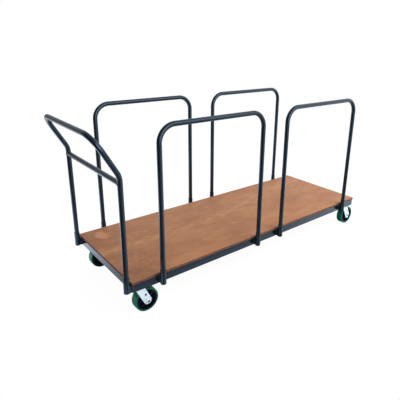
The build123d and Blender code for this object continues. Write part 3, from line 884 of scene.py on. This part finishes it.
# Forks: pressed from 5 mm steel and zinc plated, a round crown with two legs raked back to the axle and
# one small empty hole in each leg. Axles: hex bolt, spacer sleeve and lock nut with a nylon collar.
fork_ease = 0.7 * mm
axle_radius = 6.35 * mm
axle_flats = 19 * mm
axle_head = 8 * mm
axle_chamfer = 1.2 * mm
axle_sides = 48
axle_nut = 11 * mm
collar_height = 3.2 * mm
collar_radius = 8.6 * mm
collar_round = 1.4 * mm
collar_steps = 4
collar_sink = 0.6 * mm
insert_wall = 1.2 * mm
insert_drop = 0.5 * mm

# Plain bolt steel with a thin oil film: grey, darker than the plated nut round it. Its drawn grain is
# coarser than the real one so that it shows.
bolt_steel = clouded(
    "oiled_bolt_steel",
    tones=("#5B6668", "#4A5556"),
    rough=(0.30, 0.42),
    cloud_mm=9,
    grain_mm=(0.6, 0.6, 0.6),
    grain_depth=0.01 * mm,
    grain_strength=0.4,
    sockets={"Metallic": 1.0},
)

# Nylon: moulded, off-white and slightly translucent, with a fine matt skin, drawn coarse enough to show.
nylon, tree, place = start_finish("moulded_nylon")
haze = add(tree, "TexNoise", {"Vector": place, "Scale": per_metre(7), "Detail": 2.0})["Fac"]
tone = {FACTOR: haze, COLOUR_A: linear("#CFCBBE"), COLOUR_B: linear("#DEDBD0")}
tone = add(tree, "Mix", tone, **COLOURS)[MIXED]
matt = add(tree, "TexNoise", {"Vector": place, "Scale": per_metre(0.5), "Detail": 2.0})["Fac"]
matt = add(tree, "Bump", {"Strength": 0.3, "Distance": 0.02 * mm, "Height": matt})["Normal"]
surface = {"Base Color": tone, "Roughness": 0.45, "IOR": 1.53, "Normal": matt}
surface |= {"Subsurface Weight": 0.15, "Subsurface Scale": 1.5 * mm}
surface = add(tree, "BsdfPrincipled", surface)["BSDF"]
add(tree, "OutputMaterial", {"Surface": surface})

for corner in corners:
    body = f"{corner}_swivel"
    eased(f"fork_{corner}", f"caster_fork_{corner}", fork_ease, zinc, body)
    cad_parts[f"axle_spacer_{corner}"].data.materials[0] = steel
    low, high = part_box(f"axle_bolt_{corner}")
    tread_low, tread_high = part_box(f"wheel_tread_{corner}")
    centre = (tread_low + tread_high) / 2
    outward = math.copysign(1, centre.y)
    fork_low, fork_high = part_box(f"fork_{corner}")
    fork_half = (fork_high.y - fork_low.y) / 2
    to_outside = (-math.pi / 2 * outward, 0.0, 0.0)
    to_inside = (math.pi / 2 * outward, 0.0, 0.0)
    axle_end = abs(centre.y) - (high.y if outward > 0 else -low.y) - fork_half

    shape = bmesh.new()
    skin(shape, hexed(axle_flats, 0, axle_head))
    shank = [(axle_radius, overlap), (axle_radius, axle_end + axle_chamfer)]
    shank += [(axle_radius - axle_chamfer, axle_end)]
    skin(shape, turned(shank, axle_sides))
    axle = close_mesh(shape, "one_axle")
    head_place = [centre - Vector((0, outward * fork_half, 0))]
    pin = set_out(f"axle_pin_{corner}", axle, head_place, to_inside, bolt_steel, body)
    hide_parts(f"axle_bolt_{corner}")

    shape = nut_shape(axle_flats, axle_nut - collar_height, axle_radius)
    collar_bore = axle_radius + insert_wall
    collar_foot = axle_nut - collar_height - collar_sink
    collar_centre = (collar_radius - collar_round, axle_nut - collar_round)
    collar = [(collar_bore, collar_foot), (collar_radius, collar_foot)]
    collar += arc(collar_centre, collar_round, 0, 90, collar_steps)
    collar += [(collar_bore, axle_nut)]
    skin(shape, turned(collar), looped=True)
    lock = close_mesh(shape, "one_lock_nut")
    nut_place = [centre + Vector((0, outward * fork_half, 0))]
    set_out(f"axle_lock_nut_{corner}", lock, nut_place, to_outside, zinc, body)

    shape = bmesh.new()
    insert_top = axle_nut - insert_drop
    insert = [(axle_radius, collar_foot), (collar_bore, collar_foot)]
    insert += [(collar_bore, insert_top), (axle_radius, insert_top)]
    skin(shape, turned(insert), looped=True)
    insert = close_mesh(shape, "one_insert")
    set_out(f"lock_insert_{corner}", insert, nut_place, to_outside, nylon, body)


# Wheels: a black moulded polyolefin core with eight ribs a side, a pressed-in nylon bearing, and a green
# polyurethane tread cast round the rim and turned true.
core_ease = 1.0 * mm
tread_shoulder = 2.5 * mm
shoulder_steps = 8
tread_crown = 0.5 * mm
crown_share = 0.25
tread_inner = 66.7 * mm
tread_foot_break = 1 * mm
tread_sides = 128

# Polyolefin: injection moulded, near black with a blue cast, with a low gloss and the fine spark-eroded
# grain of the tool, drawn coarser than it is so that it shows.
polyolefin = clouded(
    "moulded_polyolefin",
    tones=("#070B13", "#0C141F"),
    rough=(0.38, 0.5),
    cloud_mm=28,
    cloud_detail=2.0,
    spread=(0.0, 1.0),
    grain_mm=(0.9, 0.9, 0.9),
    grain_depth=0.03 * mm,
    # The blue tint of its reflections is painted light: it stands in for cool room light
    sockets={"IOR": 1.5, "Specular IOR Level": 0.25, "Specular Tint": linear("#B4D6FF")},
)

# Cast polyurethane: deep green right through and a little translucent, with soft flow clouds and the fine
# rings of the turning tool on the running face.
urethane = clouded(
    "cast_polyurethane",
    tones=("#026B50", "#047F60"),
    rough=(0.22, 0.32),
    cloud_mm=26,
    grain_mm=(60, 0.8, 60),
    grain_depth=0.03 * mm,
    sockets={
        "IOR": 1.5,
        "Specular IOR Level": 0.2,
        "Subsurface Weight": 0.1,
        "Subsurface Radius": (0.4, 1.0, 0.7),
        "Subsurface Scale": 2.5 * mm,
    },
)

for corner in corners:
    body = f"{corner}_wheel"
    eased(f"wheel_core_{corner}", f"wheel_centre_{corner}", core_ease, polyolefin, body)
    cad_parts[f"hub_bearing_{corner}"].data.materials[0] = nylon
    low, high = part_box(f"wheel_tread_{corner}")
    centre = (low + high) / 2
    radius = (high.z - low.z) / 2
    half = (high.y - low.y) / 2
    shoulder = radius - tread_shoulder - tread_crown
    crest = radius - crown_share * tread_crown
    profile = [(tread_inner, tread_foot_break - half), (tread_inner + tread_foot_break, -half)]
    profile += arc((shoulder, tread_shoulder - half), tread_shoulder, -90, 0, shoulder_steps)
    profile += [(crest, -half / 2), (radius, 0), (crest, half / 2)]
    profile += arc((shoulder, half - tread_shoulder), tread_shoulder, 0, 90, shoulder_steps)
    profile += [(tread_inner + tread_foot_break, half), (tread_inner, half - tread_foot_break)]
    shape = bmesh.new()
    skin(shape, turned(profile, tread_sides), looped=True)
    onto_axle = Matrix.Translation(centre) @ Matrix.Rotation(math.pi / 2, 4, "X")
    bmesh.ops.transform(shape, matrix=onto_axle, verts=shape.verts)
    band = close_mesh(shape, f"wheel_band_{corner}")
    piece = show(f"wheel_band_{corner}", band, urethane, body)
    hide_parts(f"wheel_tread_{corner}")


# Floor: a sheet of white paper under the cart. It shows as white and keeps a soft shadow. Reflections see it
# as a lit floor with painted shade under the cart, and a painted pool of light glows past the rear left
# corner.
floor_outline = [(-1.4, -0.62), (2.6, -0.62), (6.0, 8.0), (-6.0, 8.0), (-3.2, 0.15), (-1.4, 0.0)]
floor_glow = 0.95
floor_shadow = (0.12, 0.12, 0.12, 1.0)
white = (1.0, 1.0, 1.0, 1.0)
# Painted light and shade that only reflections see on the floor: a glowing pool, and darkening under the cart
painted_glow_place = Vector((-1.8, 1.0, 0.0))
painted_glow_reach = 1.3
painted_glow_strength = 2.7
painted_glow_colour = "#E8F2FF"
mirrored_floor = (1.32, 1.45, 1.58, 1.0)
painted_shade_area = Vector((2.2, 0.88, 1.0))


def ray_kinds(tree):
    """Shares of rays that show the white background itself, and of mirrored rays."""
    ray = add(tree, "LightPath")
    straight = {0: ray["Is Camera Ray"], 1: ray["Is Transmission Ray"]}
    return add(tree, "Math", straight, operation="MAXIMUM")["Value"], ray["Is Glossy Ray"]


paper, tree, place = start_finish("white_paper")
fleck = add(tree, "TexNoise", {"Vector": place, "Scale": per_metre(3), "Detail": 2.0})["Fac"]
fleck = add(tree, "MapRange", {"Value": fleck, "To Min": 0.8, "To Max": 0.84})["Result"]
lit = add(tree, "BsdfDiffuse", {"Color": fleck})["BSDF"]
faint = add(tree, "BsdfDiffuse", {"Color": floor_shadow})["BSDF"]
glow = add(tree, "Emission", {"Color": white, "Strength": floor_glow})["Emission"]
seen = add(tree, "AddShader", {0: faint, 1: glow})["Shader"]
# Painted light: a glowing pool on the floor past the rear left corner, which only reflections see
aside = add(tree, "VectorMath", {0: place, 1: painted_glow_place}, operation="DISTANCE")["Value"]
painted_glow = {"Value": aside, "From Max": painted_glow_reach, "To Min": painted_glow_strength, "To Max": 0.0}
painted_glow = add(tree, "MapRange", painted_glow, **SMOOTH)["Result"]
painted_glow = add(tree, "Emission", {"Color": linear(painted_glow_colour), "Strength": painted_glow})["Emission"]
# Painted shade: the floor that reflections see is darkened over the cart's footprint
under = add(tree, "VectorMath", {0: place, 1: frame_middle}, operation="SUBTRACT")["Vector"]
under = add(tree, "VectorMath", {0: under, 1: painted_shade_area / 2}, operation="DIVIDE")["Vector"]
under = add(tree, "VectorMath", {0: under}, operation="ABSOLUTE")["Vector"]
under = add(tree, "SeparateXYZ", {"Vector": under})
under = add(tree, "Math", {0: under["X"], 1: under["Y"]}, operation="MAXIMUM")["Value"]
under = {"Value": under, "From Min": 0.88, "To Min": 0.05, "To Max": 1.0}
under = add(tree, "MapRange", under, **SMOOTH)["Result"]
painted_shade_floor = {FACTOR: 1.0, COLOUR_A: mirrored_floor, COLOUR_B: under}
painted_shade_floor = add(tree, "Mix", painted_shade_floor, blend_type="MULTIPLY", **COLOURS)[MIXED]
painted_shade_floor = add(tree, "BsdfDiffuse", {"Color": painted_shade_floor})["BSDF"]
mirrored = add(tree, "AddShader", {0: painted_shade_floor, 1: painted_glow})["Shader"]
shown, glossy = ray_kinds(tree)
surface = add(tree, "MixShader", {0: glossy, 1: lit, 2: mirrored})["Shader"]
surface = add(tree, "MixShader", {0: shown, 1: surface, 2: seen})["Shader"]
add(tree, "OutputMaterial", {"Surface": surface})
floor_mesh = bpy.data.meshes.new("paper_floor")
floor_mesh.from_pydata([(x, y, 0) for x, y in floor_outline], [], [range(len(floor_outline))])
floor_mesh.materials.append(paper)
floor = bpy.data.objects.new("paper_floor", floor_mesh)
bpy.context.scene.collection.objects.link(floor)


# Studio light: for reflections a white room, brighter to the front right, dim straight above and at the rear,
# with a lit strip low past the front end and two soft boxes on the right. For all else it is an even dome,
# with one large soft lamp from the front right.
fill_strength = 0.5
plain_strength = 0.36
bright_way = Vector((0.45, -0.30, 0.84)).normalized()
bright_strength = 1.45
unlit_way = Vector((-0.95, -0.25, 0.15)).normalized()
unlit_share = 0.25
overhead_share = 0.4
front_way = Vector((0.93, -0.33, -0.15)).normalized()
front_strength = 1.5
box_ways = (Vector((-0.1, -0.94, 0.2)).normalized(), Vector((0.36, -0.74, 0.5)).normalized())
box_strengths = (3.0, 1.7)
key_place = Vector((2.4, -2.8, 3.4))
key_target = Vector((0.0, 0.0, 0.4))
key_size = 4.0
key_power = 155

# Places of a Mix node's sockets when it mixes numbers
NUMBER_A, NUMBER_B, NUMBER = 2, 3, 0

world = bpy.data.worlds.new("white_studio")
world.use_nodes = True
bpy.context.scene.world = world
tree = world.node_tree
tree.nodes.clear()
way = add(tree, "TexCoord")["Generated"]
rise = add(tree, "SeparateXYZ", {"Vector": way})["Z"]
towards = add(tree, "VectorMath", {0: way, 1: bright_way}, operation="DOT_PRODUCT")["Value"]
mirrored = {"From Min": -0.2, "From Max": 0.95, "To Min": plain_strength, "To Max": bright_strength}
mirrored = add(tree, "MapRange", {"Value": towards, **mirrored})["Result"]
away = add(tree, "VectorMath", {0: way, 1: unlit_way}, operation="DOT_PRODUCT")["Value"]
for side, start, end, share in ((away, 0.25, 0.8, unlit_share), (rise, 0.55, 0.85, overhead_share)):
    shade = {"Value": side, "From Min": start, "From Max": end, "To Min": 1.0, "To Max": share}
    shade = add(tree, "MapRange", shade, **SMOOTH)["Result"]
    mirrored = add(tree, "Math", {0: mirrored, 1: shade}, operation="MULTIPLY")["Value"]
ahead = add(tree, "VectorMath", {0: way, 1: front_way}, operation="DOT_PRODUCT")["Value"]
front = add(tree, "MapRange", {"Value": ahead, "From Min": 0.87, "To Max": front_strength})["Result"]
low_down = {"Value": rise, "From Min": -0.28, "From Max": -0.12, "To Min": 1.0, "To Max": 0.0}
low_down = add(tree, "MapRange", low_down)["Result"]
front = add(tree, "Math", {0: front, 1: low_down}, operation="MULTIPLY")["Value"]
mirrored = add(tree, "Math", {0: mirrored, 1: front}, operation="ADD")["Value"]
for box_way, box_strength in zip(box_ways, box_strengths):
    box = add(tree, "VectorMath", {0: way, 1: box_way}, operation="DOT_PRODUCT")["Value"]
    box = {"Value": box, "From Min": 0.88, "From Max": 0.97, "To Max": box_strength}
    box = add(tree, "MapRange", box, **SMOOTH)["Result"]
    mirrored = add(tree, "Math", {0: mirrored, 1: box}, operation="ADD")["Value"]
shown, glossy = ray_kinds(tree)
strength = add(tree, "MapRange", {"Value": shown, "To Min": fill_strength, "To Max": 1.0})["Result"]
strength = {FACTOR: glossy, NUMBER_A: strength, NUMBER_B: mirrored}
strength = add(tree, "Mix", strength, data_type="FLOAT")[NUMBER]
room = add(tree, "Background", {"Color": white, "Strength": strength})["Background"]
add(tree, "OutputWorld", {"Surface": room})

key_lamp = bpy.data.lights.new("key_lamp", "AREA")
key_lamp.shape = "DISK"
key_lamp.size = key_size
key_lamp.energy = key_power
key = bpy.data.objects.new("key_lamp", key_lamp)
key.location = key_place
key.visible_glossy = False
key.rotation_euler = (key_target - key_place).to_track_quat("-Z", "Y").to_euler()
bpy.context.scene.collection.objects.link(key)


# Camera: a normal lens at eye height off the rear right corner, rolled by a degree, with the frame shifted
# so that the cart sits where it is in the picture.
eye_place = Vector((-1.90452, -2.20490, 1.55813))
eye_azimuth = math.radians(-40.2769)
eye_elevation = math.radians(18.2432)
eye_roll = math.radians(1.1955)
lens = bpy.data.cameras.new("view")
lens.sensor_width = 36
lens.lens = 36.871
lens.shift_x = -0.06207
lens.shift_y = -0.06815
eye = bpy.data.objects.new("view", lens)
swung = Matrix.Rotation(eye_azimuth, 4, "Z")
tilted = Matrix.Rotation(math.pi / 2 - eye_elevation, 4, "X")
rolled = Matrix.Rotation(eye_roll, 4, "Z")
eye.matrix_world = Matrix.Translation(eye_place) @ swung @ tilted @ rolled
bpy.context.scene.collection.objects.link(eye)
bpy.context.scene.camera = eye
bpy.context.scene.view_settings.view_transform = "Standard"
